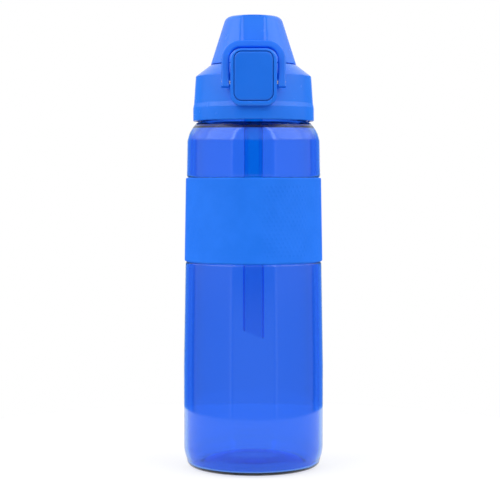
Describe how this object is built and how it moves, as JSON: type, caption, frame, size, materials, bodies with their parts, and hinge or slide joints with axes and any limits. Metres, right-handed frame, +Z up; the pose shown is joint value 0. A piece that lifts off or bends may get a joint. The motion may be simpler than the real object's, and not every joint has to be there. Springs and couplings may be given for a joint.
{
  "type": "sports bottle",
  "caption": "Tinted clear drinking bottle with a silicone grip sleeve, a screw-on flip lid with push button and lock bail, a mouthpiece and a straw.",
  "frame": {"origin": "centre of the base, on the surface that the bottle stands on", "axes": "+Z up along the bottle's axis, -Y to the front, where the button is, +X to the right seen from the front"},
  "size_m": [0.0762, 0.0762, 0.244],
  "materials": {
    "clear_tint": "clear tinted copolyester, glossy",
    "lid": "opaque moulded plastic, satin gloss",
    "liner": "opaque moulded plastic, satin",
    "trim": "opaque moulded plastic, satin",
    "sleeve": "matt silicone, fine diagonal grip pattern on part of it",
    "silicone": "translucent white silicone",
    "straw_tint": "translucent tinted tube",
    "steel": "stainless steel"
  },
  "bodies": {
    "bottle": {"bottle_body": "clear_tint", "grip_sleeve": "sleeve"},
    "seal": {"neck_seal": "silicone"},
    "lid": {"lid_shell": "lid", "lid_liner": "liner", "mouthpiece": "silicone", "vent_valve": "silicone", "straw_adaptor": "liner", "straw": "straw_tint", "hinge_pin": "steel", "cap_spring": "steel", "button_spring": "steel"},
    "cap": {"flip_cap": "lid", "cap_seal": "silicone"},
    "button": {"push_button": "trim", "latch_slide": "trim"},
    "bail": {"lock_bail": "trim", "bail_pin_left": "steel", "bail_pin_right": "steel"}
  },
  "joints": [
    {"name": "lid_rise", "type": "slide", "parent": "bottle", "child": "seal", "axis": [0, 0, 1], "range_m": [0, 0.0063]},
    {"name": "lid_turn", "type": "hinge", "parent": "seal", "child": "lid", "pos_m": [0, 0, 0.1875], "axis": [0, 0, 1], "range_deg": [0, 450]},
    {"name": "cap_open", "type": "hinge", "parent": "lid", "child": "cap", "pos_m": [0, 0.0282, 0.2182], "axis": [-1, 0, 0], "range_deg": [0, 135], "deforming": ["cap_spring"]},
    {"name": "button_press", "type": "slide", "parent": "lid", "child": "button", "axis": [0, 1, 0], "range_m": [0, 0.0013], "stiffness_N_per_m": 400, "springref_m": -0.002, "deforming": ["button_spring"]},
    {"name": "bail_swing", "type": "hinge", "parent": "lid", "child": "bail", "pos_m": [0, -0.0326, 0.2065], "axis": [1, 0, 0], "range_deg": [0, 150]}
  ],
  "couplings": [
    {"joint": "lid_rise", "follows": "lid_turn", "m_per_rad": 0.00079577}
  ]
}
